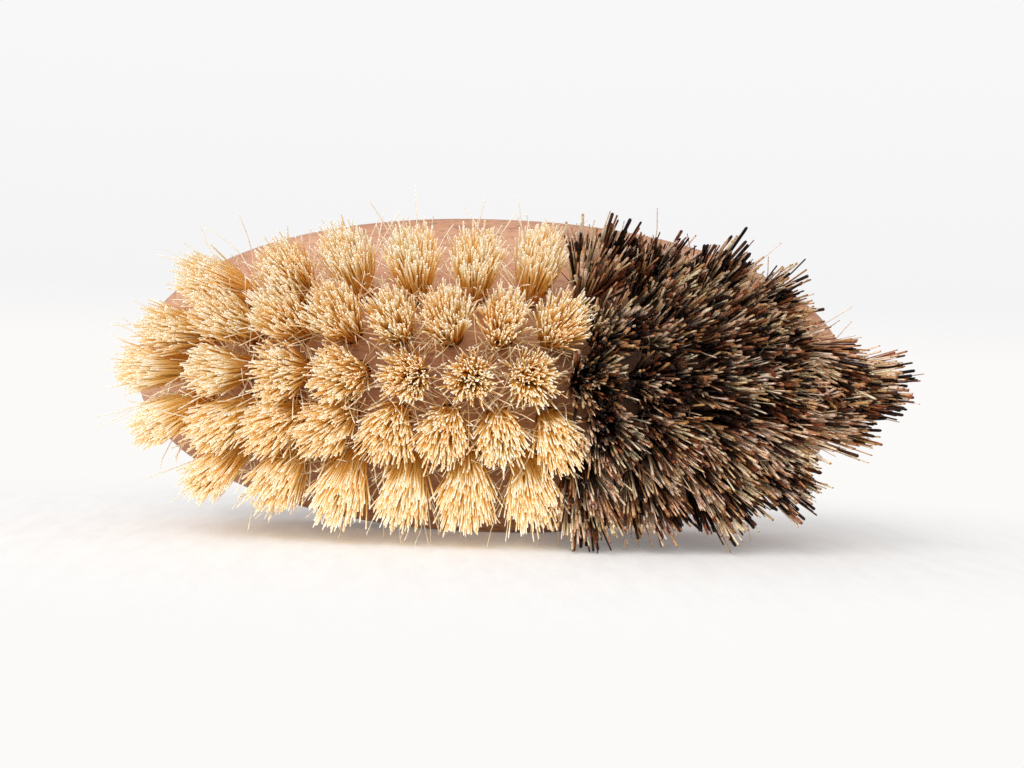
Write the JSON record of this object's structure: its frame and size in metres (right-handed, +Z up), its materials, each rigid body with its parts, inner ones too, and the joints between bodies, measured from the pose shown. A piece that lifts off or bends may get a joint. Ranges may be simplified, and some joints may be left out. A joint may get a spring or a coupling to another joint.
{
  "type": "vegetable brush",
  "caption": "Oval beech brush block with a domed bristle face: soft light plant-fibre tufts on one part and stiff dark tufts on the other.",
  "frame": {"origin": "middle of the flat strip between the bristle face and the lower finger groove, on which the brush stands when it lies on its long side", "axes": "+X along the length towards the dark tufts, -Y the way the bristles point, +Y out of the flat back, +Z up across the block's width"},
  "size_m": [0.135, 0.0497, 0.059],
  "materials": {
    "beech": "fine-sanded and lightly oiled, pinkish brown with short dark flecks",
    "light_fibre": "soft bleached plant fibre, cream at the cut tips and golden in the depths",
    "dark_fibre": "stiff mixed plant fibre, near-black and brown with tan strands and pale cut tips"
  },
  "bodies": {
    "root": {"beech_block": "beech", "light_tuft_top_01": "light_fibre", "light_tuft_top_02": "light_fibre", "light_tuft_top_03": "light_fibre", "light_tuft_top_04": "light_fibre", "light_tuft_top_05": "light_fibre", "light_tuft_top_06": "light_fibre", "dark_tuft_top_07": "dark_fibre", "dark_tuft_top_08": "dark_fibre", "dark_tuft_top_09": "dark_fibre", "dark_tuft_top_10": "dark_fibre", "light_tuft_upper_01": "light_fibre", "light_tuft_upper_02": "light_fibre", "light_tuft_upper_03": "light_fibre", "light_tuft_upper_04": "light_fibre", "light_tuft_upper_05": "light_fibre", "light_tuft_upper_06": "light_fibre", "light_tuft_upper_07": "light_fibre", "light_tuft_upper_08": "light_fibre", "dark_tuft_upper_09": "dark_fibre", "dark_tuft_upper_10": "dark_fibre", "dark_tuft_upper_11": "dark_fibre", "dark_tuft_upper_12": "dark_fibre", "dark_tuft_upper_13": "dark_fibre", "light_tuft_middle_01": "light_fibre", "light_tuft_middle_02": "light_fibre", "light_tuft_middle_03": "light_fibre", "light_tuft_middle_04": "light_fibre", "light_tuft_middle_05": "light_fibre", "light_tuft_middle_06": "light_fibre", "light_tuft_middle_07": "light_fibre", "dark_tuft_middle_08": "dark_fibre", "dark_tuft_middle_09": "dark_fibre", "dark_tuft_middle_10": "dark_fibre", "dark_tuft_middle_11": "dark_fibre", "dark_tuft_middle_12": "dark_fibre", "light_tuft_lower_01": "light_fibre", "light_tuft_lower_02": "light_fibre", "light_tuft_lower_03": "light_fibre", "light_tuft_lower_04": "light_fibre", "light_tuft_lower_05": "light_fibre", "light_tuft_lower_06": "light_fibre", "light_tuft_lower_07": "light_fibre", "light_tuft_lower_08": "light_fibre", "dark_tuft_lower_09": "dark_fibre", "dark_tuft_lower_10": "dark_fibre", "dark_tuft_lower_11": "dark_fibre", "dark_tuft_lower_12": "dark_fibre", "dark_tuft_lower_13": "dark_fibre", "light_tuft_bottom_01": "light_fibre", "light_tuft_bottom_02": "light_fibre", "light_tuft_bottom_03": "light_fibre", "light_tuft_bottom_04": "light_fibre", "light_tuft_bottom_05": "light_fibre", "light_tuft_bottom_06": "light_fibre", "dark_tuft_bottom_07": "dark_fibre", "dark_tuft_bottom_08": "dark_fibre", "dark_tuft_bottom_09": "dark_fibre", "dark_tuft_bottom_10": "dark_fibre"}
  },
  "joints": []
}
